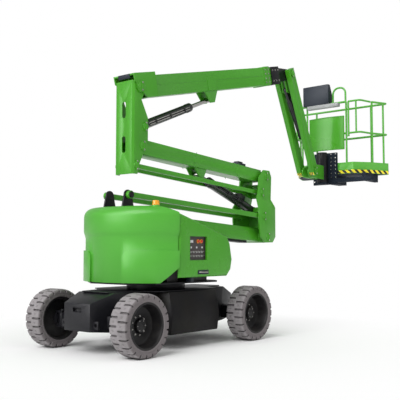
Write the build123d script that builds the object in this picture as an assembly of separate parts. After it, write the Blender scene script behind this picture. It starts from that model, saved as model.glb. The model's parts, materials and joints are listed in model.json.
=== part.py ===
from build123d import *
import os
from math import asin, cos, degrees, hypot, radians, sin

os.makedirs("parts", exist_ok=True)

# Driving dimensions in millimetres: x forward, y left, z up, slew axis over the origin
wheel_radius = 360
wheel_width = 260
rim_radius = 250
half_base = 1050
half_track = 745
kingpin_y = 590
nose_reach = 280
nose_half = 225
frame_half = 330
frame_low = 230
deck_z = 700
deck_thick = 14
box_half_length = 450
box_out = 700
ring_radius = 380
ring_height = 76
run_gap = 0.3
base_thick = 22
tail_radius = 934
tail_wall = 134
tail_step = 24
seam_x = -455
channel_half = 256
weight_height = 923
beacon_radius = 46
beacon_inset = 113
beacon_turn = 43
hood_out = 800
hood_in = 285
hood_front = 610
hood_wall = 30
hood_round = 40
cheek_thick = 24
tie_y = 200
tie_half = 24
slim_tie_y = 116
slim_tie_half = 14
arm_half = 120
arm_wall = 8
boom_half = 115
boom_tall = 280
boom_wall = 8
boom_length = 3060
nose_length = 627
fly_gap = 12
jib_y = 125
jib_half = 42
rotator_radius = 95
rotator_x = 4345
platform_gap = 150
tube = 19
toe_height = 180
rail_top = 1275
rail_mid = 705
board_thick = 14
panel_bulge = 45
lug_count = 22
lug_height = 16
lug_half = 34

# Side view pivots as (x, z)
lower_root = (-580, 1560)
lower_tip = (2245, 1397)
tie_shift = (-100, 320)
upper_root = (2300, 2340)
upper_tip = (-414, 2515)
upper_tie_shift = (-120, -255)
boom_pivot = (-470, 3265)
boom_slope = 13.5
jib_foot = (3835, 2565)
lift_base = (-375, 2765)
lift_along = 1538
lift_drop = 262
riser_base = (2150, 1812)
riser_pin = (840, 2262)
jib_cyl_base = (3180, 3880)
jib_cyl_pin = (4010, 2640)
floor_z = 2577
floor_thick = 22

nose_x = half_base + nose_reach
jib_reach = boom_length + nose_length
tower_back = tail_wall - tail_radius


def moved(point, shift):
    return (point[0] + shift[0], point[1] + shift[1])


lower_tie_root = moved(lower_root, tie_shift)
lower_tie_tip = moved(lower_tip, tie_shift)
upper_tie_root = moved(upper_root, upper_tie_shift)
upper_tie_tip = moved(upper_tip, upper_tie_shift)
boom_dir = (cos(radians(boom_slope)), sin(radians(boom_slope)))
jib_pivot = (boom_pivot[0] + jib_reach * boom_dir[0], boom_pivot[1] + jib_reach * boom_dir[1])
lift_pin = (
    boom_pivot[0] + lift_along * boom_dir[0] + lift_drop * boom_dir[1],
    boom_pivot[1] + lift_along * boom_dir[1] - lift_drop * boom_dir[0],
)
deck_top = deck_z + deck_thick
ring_top = deck_top + ring_height
base_low = ring_top + run_gap
base_top = base_low + base_thick
weight_top = base_top + weight_height


def block(x0, x1, y0, y1, z0, z1):
    return Pos((x0 + x1) / 2, (y0 + y1) / 2, (z0 + z1) / 2) * Box(x1 - x0, y1 - y0, z1 - z0)


def side_shape(points, y0, y1):
    # a side view outline pushed from y0 to y1
    outline = Polyline(*[(x, y0, z) for x, z in points], close=True)
    return extrude(make_face(outline), amount=y1 - y0, dir=(0, 1, 0))


def plan_shape(points, z0, z1):
    # a plan outline pushed from z0 to z1
    outline = Polyline(*[(x, y, z0) for x, y in points], close=True)
    return extrude(make_face(outline), amount=z1 - z0, dir=(0, 0, 1))


def end_shape(points, x0, x1):
    # an end view outline pushed from x0 to x1
    outline = Polyline(*[(x0, y, z) for y, z in points], close=True)
    return extrude(make_face(outline), amount=x1 - x0, dir=(1, 0, 0))


def pin_y(point, radius, y0, y1):
    return Pos(point[0], (y0 + y1) / 2, point[1]) * Rot(90, 0, 0) * Cylinder(radius, y1 - y0)


def disc_z(x, y, radius, z0, z1):
    return Pos(x, y, (z0 + z1) / 2) * Cylinder(radius, z1 - z0)


def rod(p, q, radius):
    # a round bar between two points in space
    start = Vector(*p)
    run = Vector(*q) - start
    middle = start + run * 0.5
    return Plane(origin=middle, z_dir=run).location * Cylinder(radius, run.length)


def lay(p, q):
    # a frame whose x runs from p to q in the side view, y across and z up
    run = (q[0] - p[0], q[1] - p[1])
    return Plane(origin=(p[0], 0, p[1]), x_dir=(run[0], 0, run[1]), z_dir=(-run[1], 0, run[0])).location


def span(p, q):
    return hypot(q[0] - p[0], q[1] - p[1])


def both(shape):
    return shape + mirror(shape, about=Plane.XZ)


def flip(shape):
    return mirror(shape, about=Plane.XZ)


def tube_box(x0, x1, half, low, high, wall):
    # an open ended box section along x
    return block(x0, x1, -half, half, low, high) - block(
        x0 - 5, x1 + 5, wall - half, half - wall, low + wall, high - wall
    )


def bent_tube(points, radius, bend):
    # round bar along a line of points with its corners bent
    path = FilletPolyline(*points, radius=bend)
    ring = Plane(origin=path @ 0, z_dir=path % 0).location * Circle(radius)
    return sweep(ring, path=path)


nodes = {}


def make_chassis():
    outer = half_base + 10
    plan = [
        (-nose_x, -nose_half), (-nose_x + 350, -frame_half), (nose_x - 350, -frame_half), (nose_x, -nose_half),
        (nose_x, nose_half), (nose_x - 350, frame_half), (-nose_x + 350, frame_half), (-nose_x, nose_half),
    ]
    side = [
        (-nose_x, frame_low + 40), (-nose_x, deck_z - 110), (-nose_x + 300, deck_z), (nose_x - 300, deck_z),
        (nose_x, deck_z - 110), (nose_x, frame_low + 40), (nose_x - 500, frame_low), (500 - nose_x, frame_low),
    ]
    body = plan_shape(plan, frame_low, deck_z) & side_shape(side, -frame_half, frame_half)
    body += block(-box_half_length, box_half_length, -430, 430, frame_low, deck_z)
    deck = [
        (-outer, -nose_half), (-600, -350), (-520, -600), (520, -600), (600, -350), (outer, -nose_half),
        (outer, nose_half), (600, 350), (520, 600), (-520, 600), (-600, 350), (-outer, nose_half),
    ]
    body += plan_shape(deck, deck_z, deck_top)
    wall = 18
    hollow = block(wall - box_half_length, box_half_length - wall, wall - 430, 430 - wall, frame_low + wall, deck_z - wall)
    hollow += block(120 - half_base, half_base - 120, 40 - frame_half, frame_half - 40, frame_low + wall, deck_z - wall)
    for end in (-1, 1):
        hollow += Pos(end * (half_base + nose_x + 45) / 2, 0, (frame_low + deck_z) / 2 - 30) * Box(
            nose_x - half_base - 150, 2 * nose_half - 20, deck_z - frame_low - 200
        )
    body -= hollow
    body -= block(-half_base - 70, 70 - half_base, -520, 520, wheel_radius - 60, wheel_radius + 80)
    body -= block(half_base - 80, half_base + 80, -520, 520, wheel_radius - 80, wheel_radius + 80)
    for end in (-nose_x, nose_x):
        body -= block(end - 45, end + 45, -75, 75, frame_low + 260, frame_low + 307)
    nodes["chassis_frame"] = body

    skin = [(430, frame_low - 40), (box_out - 30, frame_low - 40), (box_out, 410), (box_out - 60, deck_z), (430, deck_z)]
    cover = end_shape(skin, -box_half_length, box_half_length)
    cover -= block(-box_half_length + 25, box_half_length - 25, 429, box_out - 90, frame_low, deck_z - 40)
    nodes["battery_covers"] = both(cover)
    pack = block(-box_half_length + 25, box_half_length - 25, 430, box_out - 110, frame_low, deck_z - 120)
    nodes["battery_packs"] = both(pack)

    ring = disc_z(0, 0, ring_radius, deck_top, ring_top) - disc_z(0, 0, ring_radius - 70, deck_top, ring_top)
    nodes["slew_ring"] = ring

    lug = block(nose_x - 70, nose_x - 45, nose_half - 20, nose_half + 90, 300, 390)
    lug -= Pos(nose_x - 57, nose_half + 48, 345) * Rot(0, 90, 0) * Cylinder(22, 100)
    taper = plan_shape(
        [(nose_x - 350, -frame_half), (nose_x, -nose_half), (nose_x, nose_half), (nose_x - 350, frame_half)], 200, 500
    )
    lug -= taper
    pair = both(lug)
    nodes["tie_down_lugs"] = pair + mirror(pair, about=Plane.YZ)


def make_axles():
    low = wheel_radius - 60
    high = wheel_radius + 80
    steer = block(-half_base - 70, 70 - half_base, -520, 520, low, high)
    fist = disc_z(-half_base, kingpin_y, 52, wheel_radius - 70, wheel_radius + 70)
    fist += block(-half_base - 45, 45 - half_base, 500, kingpin_y, wheel_radius - 60, wheel_radius + 60)
    fist += disc_z(-half_base, kingpin_y, 26, wheel_radius - 112, wheel_radius + 112)
    nodes["steer_axle"] = steer + both(fist)
    drive = block(half_base - 80, half_base + 80, -520, 520, wheel_radius - 80, wheel_radius + 80)
    hub = pin_y((half_base, wheel_radius), 120, 520, half_track - 60)
    hub += pin_y((half_base, wheel_radius), 150, 500, 535)
    hub += pin_y((half_base, wheel_radius), 40, half_track - 60, half_track - 20)
    nodes["drive_axle"] = drive + both(hub)
    ear = block(-half_base - 50, 50 - half_base, kingpin_y - 40, half_track - 75, wheel_radius + 71, wheel_radius + 98)
    ears = ear + mirror(ear, about=Plane(origin=(0, 0, wheel_radius), z_dir=(0, 0, 1)))
    ears += block(-half_base - 50, 50 - half_base, half_track - 97, half_track - 75, wheel_radius - 98, wheel_radius + 98)
    ears += pin_y((-half_base, wheel_radius), 75, half_track - 80, half_track - 60)
    ears += pin_y((-half_base, wheel_radius), 40, half_track - 60, half_track - 20)
    ears -= disc_z(-half_base, kingpin_y, 26 + run_gap, 0, 2 * wheel_radius)
    nodes["steer_knuckle_left"] = ears
    nodes["steer_knuckle_right"] = flip(ears)


def from_hub(edge):
    return hypot(edge.center().X, edge.center().Y)


def tyre_half(half):
    # one outline of flat blocks and grooves, from the middle of the tread to the shoulder
    reach = half - 4
    block_turn = degrees(asin(lug_half / wheel_radius))
    foot_turn = block_turn + 1.2
    floor = wheel_radius - lug_height
    # the first block is turned so that its edge meets the ground
    lean = 90 - block_turn
    corners = []
    for index in range(lug_count):
        middle = lean + index * 360 / lug_count
        for radius, turn in (
            (floor, -foot_turn), (wheel_radius, -block_turn), (wheel_radius, block_turn), (floor, foot_turn)
        ):
            angle = radians(middle + turn)
            corners.append((radius * cos(angle), radius * sin(angle)))
    seat = RegularPolygon(rim_radius + 2 + run_gap, 2 * lug_count, major_radius=False)
    body = extrude(make_face(Polyline(*corners, close=True)) - seat, amount=reach)
    rim_edges = [edge for edge in body.edges().group_by(Axis.Z)[-1] if from_hub(edge) < rim_radius + lug_height]
    body = chamfer(rim_edges, reach - (half - 24))
    block_edges = [edge for edge in body.edges().group_by(Axis.Z)[-1] if from_hub(edge) > wheel_radius - lug_height / 2]
    return chamfer(block_edges, lug_height - 2)


def make_wheel(x, name, side):
    half = wheel_width / 2
    near = tyre_half(half)
    far = Rot(0, 0, 180 / lug_count) * mirror(near, about=Plane.XY)
    tyre = Rot(-90, 0, 0) * (near + far)
    rim = [
        (rim_radius + 16, half - 8), (rim_radius + 2, half - 24), (rim_radius + 2, 24 - half), (rim_radius + 16, 8 - half),
        (rim_radius - 6, 12 - half), (rim_radius - 12, 30 - half), (rim_radius - 22, -34), (120, -46), (60, -59.5),
        (40 + run_gap, -59.5), (40 + run_gap, -19.5), (0, -19.5), (0, 26), (72, 26), (82, -14), (125, -30),
        (rim_radius - 34, -20), (rim_radius - 14, half - 40), (rim_radius - 6, half - 12),
    ]
    wheel = revolve(make_face(Polyline(*[(r, w, 0) for r, w in rim], close=True)), axis=Axis.Y)
    place = Pos(x, half_track, wheel_radius)
    tyre = place * tyre
    wheel = place * wheel
    if side == "right":
        tyre = flip(tyre)
        wheel = flip(wheel)
    nodes["tyre_" + name] = tyre
    nodes["rim_" + name] = wheel


def hood_hinge():
    # a frame along the hood's inner top edge, x forward along the edge
    low = base_top + 58
    rear_end = (seam_x + 12, low + 785)
    front_end = (hood_front - 110, low + 520)
    return Pos(0, hood_in, 0) * lay(rear_end, front_end)


def make_turret():
    plate = plan_shape(
        [(-860, -300), (-640, -600), (480, -640), (560, -520), (560, 520), (480, 640), (-640, 600), (-860, 300)],
        base_low, base_top,
    )
    plate -= disc_z(0, 0, 150, base_low, base_top)
    nodes["turntable"] = plate

    inner = channel_half - cheek_thick
    root = lower_root
    cheek = side_shape(
        [(tower_back, base_top), (-260, base_top), (-285, 1480), (root[0] + 282, root[1] + 95), (root[0] + 90, root[1] + 140),
         (root[0] - 20, root[1] + 165), (tower_back + 10, root[1] + 165), (tower_back, root[1] + 100)],
        inner, channel_half,
    )
    tower = both(cheek)
    tower += block(tower_back, tower_back + 22, -inner, inner, base_top, root[1] + 60)
    tower += block(-300, -270, -inner, inner, base_top, base_top + 150)
    tower += pin_y(root, 40, -inner, inner)
    lugs = block(18, 30, channel_half - hood_in - 2, 9, -9, 9) + block(112, 124, channel_half - hood_in - 2, 9, -9, 9)
    lugs += Pos(71, 0, 0) * Rot(0, 90, 0) * Cylinder(7, 90)
    tower += both(hood_hinge() * lugs)
    nodes["riser_tower"] = tower

    # arch plates inboard of the ties, each on a block welded to the cheek
    at = lower_tie_root
    foot = root[1] + 130
    inside = tie_y - tie_half - 4
    ear = side_shape(
        [(at[0] - 110, foot), (at[0] + 110, foot), (at[0] + 95, foot + 60), (at[0] + 62, at[1] + 10), (at[0] - 62, at[1] + 10),
         (at[0] - 95, foot + 60)], inside - 22, inside)
    ear += pin_y(at, 64, inside - 22, inside)
    ear += block(at[0] - 110, at[0] + 110, inside, inner, foot, foot + 35)
    ear += pin_y(at, 26, inside, tie_y + tie_half + 12) + pin_y(at, 40, tie_y + tie_half + 1, tie_y + tie_half + 12)
    nodes["tie_brackets"] = both(ear)


def make_counterweight():
    # a drum with a heavier crown and two thick pads at the foot
    slim = tail_radius - tail_step
    belt = base_top + 540
    crown_low = base_top + 620
    pad_top = base_top + 385
    crown = disc_z(0, 0, tail_radius, crown_low, weight_top)
    crown = fillet(crown.edges().filter_by(GeomType.CIRCLE).group_by(Axis.Z)[-1], 120)
    body = disc_z(0, 0, slim, base_top, belt) + crown
    body += Pos(0, 0, (belt + crown_low) / 2) * Cone(slim, tail_radius, crown_low - belt)
    pad = block(-2 * tail_radius, seam_x, channel_half + 20, 2 * tail_radius, base_top, pad_top)
    pad = fillet(pad.edges().filter_by(Axis.X).group_by(Axis.Z)[-1].sort_by(Axis.Y)[0], 100)
    body += both(pad) & disc_z(0, 0, tail_radius, base_top, pad_top)
    body &= block(-2 * tail_radius, seam_x, -2 * tail_radius, 2 * tail_radius, base_top - 5, weight_top + 5)
    body -= block(tower_back, 0, -channel_half, channel_half, base_top - 5, weight_top + 5)
    body -= side_shape(
        [(seam_x - 150, weight_top), (seam_x + 1, weight_top - 80), (seam_x + 1, weight_top + 5), (seam_x - 150, weight_top + 5)],
        -tail_radius, tail_radius,
    )
    body -= both(side_shape(
        [(seam_x - 190, base_top - 1), (seam_x + 1, base_top - 1), (seam_x + 1, base_top + 190)], 500, tail_radius))
    lamp_x = -(tail_radius - beacon_inset) * cos(radians(beacon_turn))
    lamp_y = -(tail_radius - beacon_inset) * sin(radians(beacon_turn))
    seat = weight_top + 6
    nodes["counterweight"] = body + disc_z(lamp_x, lamp_y, beacon_radius + 4, weight_top - 60, seat)
    lens = disc_z(lamp_x, lamp_y, beacon_radius - 4, seat + 16, seat + 58)
    lens = fillet(lens.edges().filter_by(GeomType.CIRCLE).group_by(Axis.Z)[-1], 14)
    nodes["beacon"] = disc_z(lamp_x, lamp_y, beacon_radius, seat, seat + 16) + lens


def hood_outline(grow):
    low = base_top + 58 + grow
    return [
        (seam_x + 12 + grow, low), (hood_front - 110, low), (hood_front - 30 - grow, low + 80), (hood_front - grow, low + 210),
        (hood_front - 45 - grow, low + 420), (hood_front - 110 - grow, low + 520 - grow), (seam_x + 12 + grow, low + 785 - grow),
    ]


def make_hoods():
    low = base_top + 58
    shell = side_shape(hood_outline(0), hood_in, hood_out)
    shell = fillet(shell.faces().sort_by(Axis.Y)[-1].edges(), hood_round)
    shell -= side_shape(
        [(seam_x, low - 5), (hood_front - 110 - hood_wall, low - 5), (hood_front - 40 - hood_wall, low + 90),
         (hood_front - hood_wall, low + 210), (hood_front - 45 - hood_wall, low + 410),
         (hood_front - 115 - hood_wall, low + 500 - hood_wall), (seam_x, low + 780 - hood_wall)],
        hood_in - 5, hood_out - hood_wall,
    )
    clear = block(10, 132, -60, 22, -22, 22)
    shell -= hood_hinge() * clear
    barrel = Pos(71, 0, 0) * Rot(0, 90, 0) * Cylinder(12, 74) + block(34, 108, 0, 30, -12, -2)
    barrel -= Pos(71, 0, 0) * Rot(0, 90, 0) * Cylinder(7 + run_gap, 120)
    shell += hood_hinge() * barrel
    nodes["hood_left"] = shell
    window = block(-250, 80, -hood_out - 5, -hood_in - 50, 1080, 1370)
    nodes["hood_right"] = flip(shell) - window
    control = block(-235, 65, -hood_out + 42, -hood_out + 200, 1095, 1355)
    control += block(-120, -60, -hood_out + 100, -hood_out + 180, base_top, 1095)
    nodes["ground_controls"] = control
    power = block(-400, 330, hood_in + 20, 590, base_top, base_top + 420)
    pump = block(0, 330, -590, -hood_in - 20, base_top, base_top + 230)
    pump += block(-400, -200, -560, -hood_in - 20, base_top, base_top + 420)
    nodes["power_blocks"] = power + pump


def make_lower_arm():
    size = span(lower_root, lower_tip)
    arm = tube_box(60, size - 60, arm_half, -72, 128, arm_wall)
    for along in (0, size):
        arm += Pos(along, 0, 0) * Rot(90, 0, 0) * Cylinder(86, 2 * arm_half + 90)
    for along in (60, size - 60):
        arm += block(along - 70 if along < 99 else along, along if along < 99 else along + 70, -arm_half, arm_half, -60, 78)
    arm -= Rot(90, 0, 0) * Cylinder(40 + run_gap, 900)
    arm -= Pos(size, 0, 0) * Rot(90, 0, 0) * Cylinder(40 + run_gap, 900)
    nodes["lower_arm"] = lay(lower_root, lower_tip) * arm


def tie_bar(size, y, half, deep):
    bar = block(0, size, y - half, y + half, -deep, deep)
    for along in (0, size):
        bar += Pos(along, y, 0) * Rot(90, 0, 0) * Cylinder(deep + 16, 2 * half)
    for along in (0, size):
        bar -= Pos(along, y, 0) * Rot(90, 0, 0) * Cylinder(26 + run_gap, 900)
    return bar


def make_ties():
    low = tie_bar(span(lower_root, lower_tip), tie_y, tie_half, 34)
    nodes["lower_ties"] = lay(lower_tie_root, lower_tie_tip) * both(low)
    high = tie_bar(span(upper_root, upper_tip), slim_tie_y, slim_tie_half, 30)
    nodes["upper_ties"] = lay(upper_tie_root, upper_tie_tip) * both(high)


def make_knuckle():
    low_in = 232
    high_in = 168
    thick = 20
    tip = lower_tip
    top = upper_root
    bend_low = 1855
    bend_high = 1985
    outline = side_shape(
        [(tip[0] - 210, tip[1] + 10), (tip[0] - 90, tip[1] - 85), (tip[0] + 120, tip[1] - 80), (tip[0] + 215, tip[1] + 30),
         (tip[0] + 225, tip[1] + 150), (tip[0] + 205, bend_low), (top[0] + 110, bend_high), (top[0] + 130, top[1]),
         (top[0] + 80, top[1] + 95), (top[0] - 80, top[1] + 95), (top[0] - 200, top[1] - 30), (top[0] - 230, 2080),
         (tip[0] - 250, bend_low), (tip[0] - 250, tip[1] + 250)],
        high_in - 5, low_in + thick + 5,
    )
    bent = end_shape(
        [(low_in, tip[1] - 100), (low_in + thick, tip[1] - 100), (low_in + thick, bend_low), (high_in + thick, bend_high),
         (high_in + thick, top[1] + 100), (high_in, top[1] + 100), (high_in, bend_high), (low_in, bend_low)],
        tip[0] - 260, top[0] + 140,
    )
    body = both(outline & bent)
    body += pin_y(tip, 40, -low_in, low_in)
    body += pin_y(top, 40, -high_in, high_in)
    body += both(pin_y(lower_tie_tip, 26, tie_y - tie_half, low_in))
    body += both(pin_y(upper_tie_root, 26, slim_tie_y - slim_tie_half - 4, high_in))
    body += side_shape([(tip[0] + 170, 1500), (tip[0] + 195, 1500), (tip[0] + 195, 1850), (tip[0] + 170, 1850)], -low_in, low_in)
    body += side_shape([(top[0] + 98, 2010), (top[0] + 118, 2010), (top[0] + 118, 2230), (top[0] + 98, 2230)], -high_in, high_in)
    body += both(side_shape(
        [(riser_base[0] - 45, 1780), (riser_base[0] - 20, 1855), (riser_base[0] + 250, 1855), (riser_base[0] + 250, 1780)], 62, low_in))
    nodes["knuckle"] = body + pin_y(riser_base, 30, -80, 80)


def make_upper_arm():
    size = span(upper_root, upper_tip)
    # seen from the knuckle the arm runs back, so its own up is down in the world
    arm = tube_box(60, size - 50, arm_half, -94, 94, arm_wall)
    for along, reach in ((0, 160), (size, 150)):
        arm += Pos(along, 0, 0) * Rot(90, 0, 0) * Cylinder(80, 2 * reach)
    arm += block(10, 60, -arm_half, arm_half, -70, 70) + block(size - 50, size - 10, -arm_half, arm_half, -70, 70)
    for along in (0, size):
        arm -= Pos(along, 0, 0) * Rot(90, 0, 0) * Cylinder(40 + run_gap, 900)
    arm = lay(upper_root, upper_tip) * arm
    run = (upper_tip[0] - upper_root[0], upper_tip[1] - upper_root[1])
    middle = upper_root[1] + run[1] * (riser_pin[0] - upper_root[0]) / run[0]
    lug = side_shape(
        [(riser_pin[0] - 150, middle - 84), (riser_pin[0] + 110, middle - 100), (riser_pin[0] + 48, riser_pin[1] - 52),
         (riser_pin[0] - 40, riser_pin[1] - 52)], 62, 84)
    nodes["upper_arm"] = arm + both(lug)


def make_upright():
    half = 165
    thick = 13
    back = upper_tip[0] - 186
    front = back + 268
    top_z = boom_pivot[1] + 66
    profile = side_shape(
        [(back, 2150), (back + 85, 2150), (back + 110, 2262), (front, 2590), (front, 2880), (back + 150, 3100),
         (boom_pivot[0] + 78, 3200), (boom_pivot[0] + 78, 3300), (boom_pivot[0] + 30, top_z), (back, top_z)],
        -half, half,
    )
    fold = 26
    inner_fold = fold + 0.414 * thick
    outside = plan_shape(
        [(back + fold, -half), (front, -half), (front, half), (back + fold, half), (back, half - fold), (back, fold - half)],
        2150, top_z,
    )
    inside = plan_shape(
        [(back + inner_fold, thick - half), (front + 5, thick - half), (front + 5, half - thick),
         (back + inner_fold, half - thick), (back + thick, half - inner_fold), (back + thick, inner_fold - half)],
        2145, top_z + 5,
    )
    body = (outside - inside) & profile
    for height in (2420, 2860):
        body -= block(back - 5, back + 30, -32, 32, height + 32, height + 178)
        for end in (height + 32, height + 178):
            body -= Pos(back + 12, 0, end) * Rot(0, 90, 0) * Cylinder(32, 40)
    body += pin_y(upper_tip, 40, thick - half, half - thick)
    body += both(pin_y(upper_tie_tip, 26, slim_tie_y - slim_tie_half - 4, half - thick))
    body += pin_y(lift_base, 34, thick - half, half - thick)
    body -= both(pin_y(boom_pivot, 40 + run_gap, half - thick - 5, half + 5))
    nodes["upright"] = body


def boom_frame():
    tip = moved(boom_pivot, (1000 * boom_dir[0], 1000 * boom_dir[1]))
    return lay(boom_pivot, tip)


def make_boom():
    tall = boom_tall / 2
    outer = tube_box(115, boom_length, boom_half, -tall, tall, boom_wall)
    collar = block(boom_length - 150, boom_length, -boom_half - 10, boom_half + 10, -tall - 12, tall + 12)
    collar -= block(
        boom_length - 155, boom_length + 5, fly_gap - boom_half, boom_half - fly_gap, fly_gap - tall, tall - fly_gap
    )
    outer += collar
    root = block(112, 290, -185, 185, -tall - 6, tall + 34) - block(
        111, 291, -boom_half + boom_wall, boom_half - boom_wall, -tall + boom_wall, tall - boom_wall
    )
    outer += root
    outer += block(-100, 290, -185, 185, 152, tall + 34)
    outer -= block(-106, -28, -102, 102, 150, tall + 40)
    cheek = side_shape(
        [(-78, -20), (-78, 60), (-100, 70), (-105, tall + 34), (290, tall + 34), (290, -tall - 6), (90, -tall - 6), (20, -78),
         (-50, -66)], 166, 185)
    outer += both(cheek)
    outer += both(pin_y((0, 0), 40, 140, 166))
    lug = side_shape(
        [(lift_along - 150, 3 - tall), (lift_along - 48, -lift_drop - 46), (lift_along + 48, -lift_drop - 46),
         (lift_along + 150, 3 - tall)], 62, 84)
    nodes["boom_outer"] = boom_frame() * (outer + both(lug))
    cap = block(-104, -28, -102, 102, 152, tall + 36) + block(-104, -92, -102, 102, 120, 152)
    nodes["boom_cap"] = boom_frame() * cap


def make_fly():
    tall = boom_tall / 2 - fly_gap - run_gap
    wide = boom_half - fly_gap - run_gap
    nodes["boom_fly"] = boom_frame() * tube_box(300, boom_length + 70, wide, -tall, tall, 7)
    start = boom_length + 70
    head = block(start, start + 230, -boom_half, boom_half, -tall - 15, tall + 15)
    head -= block(start + 20, start + 205, 12 - boom_half, boom_half - 12, -tall, tall)
    fork = side_shape(
        [(start + 200, -120), (jib_reach, -88), (jib_reach + 60, -64), (jib_reach + 88, 0), (jib_reach + 60, 64),
         (jib_reach, 88), (start + 200, 130)], 50, 78)
    head += both(fork)
    head -= pin_y((jib_reach, 0), 36 + run_gap, -400, 400)
    nodes["boom_nose"] = boom_frame() * head


def make_jib():
    head = pin_y(jib_pivot, 82, -45, 45)
    head += pin_y(jib_pivot, 36, -jib_y - jib_half - 8, jib_y + jib_half + 8)
    base = jib_cyl_base
    link = side_shape(
        [(jib_pivot[0] - 78, jib_pivot[1]), (jib_pivot[0] + 78, jib_pivot[1] + 10), (base[0] + 55, base[1] + 20),
         (base[0] + 45, base[1] - 40), (base[0] - 45, base[1] - 45), (base[0] - 60, base[1] + 20)], 28, 45)
    head += both(link)
    head += pin_y(base, 26, -40, 40)
    nodes["jib_head"] = head

    size = span(jib_pivot, jib_foot)
    beam = block(-86, size, jib_y - jib_half, jib_y + jib_half, -78, 78) - block(
        -74, size + 5, jib_y - jib_half + 7, jib_y + jib_half - 7, -71, 71
    )
    for along in (0, size):
        beam += Pos(along, jib_y, 0) * Rot(90, 0, 0) * Cylinder(78, 2 * jib_half)
    pair = both(beam)
    pair += block(300, 400, jib_half - jib_y - 2, jib_y - jib_half + 2, 56, 78)
    for along in (0, size):
        pair -= Pos(along, 0, 0) * Rot(90, 0, 0) * Cylinder(36 + run_gap, 900)
    nodes["jib_beams"] = lay(jib_pivot, jib_foot) * pair


def make_bracket():
    foot = jib_foot
    plate = side_shape(
        [(foot[0] - 70, foot[1] - 40), (foot[0] - 20, foot[1] - 110), (rotator_x, foot[1] - 110), (rotator_x, foot[1] + 130),
         (jib_cyl_pin[0] + 70, jib_cyl_pin[1] + 60), (jib_cyl_pin[0] - 50, jib_cyl_pin[1] + 50), (foot[0] + 40, foot[1] + 75),
         (foot[0] - 40, foot[1] + 72), (foot[0] - 75, foot[1] + 20)], 46, 72)
    plate -= disc_z(rotator_x, 0, rotator_radius, 0, 9000)
    body = both(plate)
    body += both(pin_y(foot, 36, 46, jib_y + jib_half + 8))
    nodes["platform_bracket"] = body
    nodes["rotator"] = disc_z(rotator_x, 0, rotator_radius, floor_z - 175, floor_z + 365)


def platform_plan(inset):
    # the floor outline drawn in by a distance, corner by corner
    rear = rotator_x + platform_gap
    outline = [
        (rear, -540), (rear + 250, -735), (rear + 650, -905), (rear + 705, -880),
        (rear + 705, 880), (rear + 650, 905), (rear + 250, 735), (rear, 540),
    ]
    drawn = []
    for index, corner in enumerate(outline):
        before = Vector(*outline[index - 1])
        after = Vector(*outline[(index + 1) % len(outline)])
        here = Vector(*corner)
        into = (here - before).normalized()
        out = (after - here).normalized()
        side_in = Vector(-into.Y, into.X)
        side_out = Vector(-out.Y, out.X)
        half = (side_in + side_out).normalized()
        shift = here + half * (inset / half.dot(side_in))
        drawn.append((shift.X, shift.Y))
    return drawn


def make_panel(face, y0, y1, low, high):
    # a sheet bowed outwards, with a tube along each edge
    edge = 10
    plane_x = face - edge
    middle = (y0 + y1) / 2
    bow = ThreePointArc((plane_x, y0, low), (plane_x - panel_bulge, middle, low), (plane_x, y1, low))
    ring = Plane(origin=bow @ 0, z_dir=bow % 0).location * Circle(edge)
    hoop = sweep(ring, path=bow)
    outer = ThreePointArc((plane_x - 3, y0, low), (plane_x - panel_bulge - 3, middle, low), (plane_x - 3, y1, low))
    inner = ThreePointArc((plane_x + 3, y0, low), (plane_x - panel_bulge + 3, middle, low), (plane_x + 3, y1, low))
    ends = [Line(outer @ 0, inner @ 0), Line(outer @ 1, inner @ 1)]
    sheet = extrude(make_face([outer, inner, *ends]), amount=high - low, dir=(0, 0, 1))
    panel = sheet + hoop + Pos(0, 0, high - low) * hoop
    for y in (y0, y1):
        panel += rod((plane_x, y, low), (plane_x, y, high), edge)
        for height in (low, high):
            panel += Pos(plane_x, y, height) * Sphere(edge)
    return panel


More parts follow.
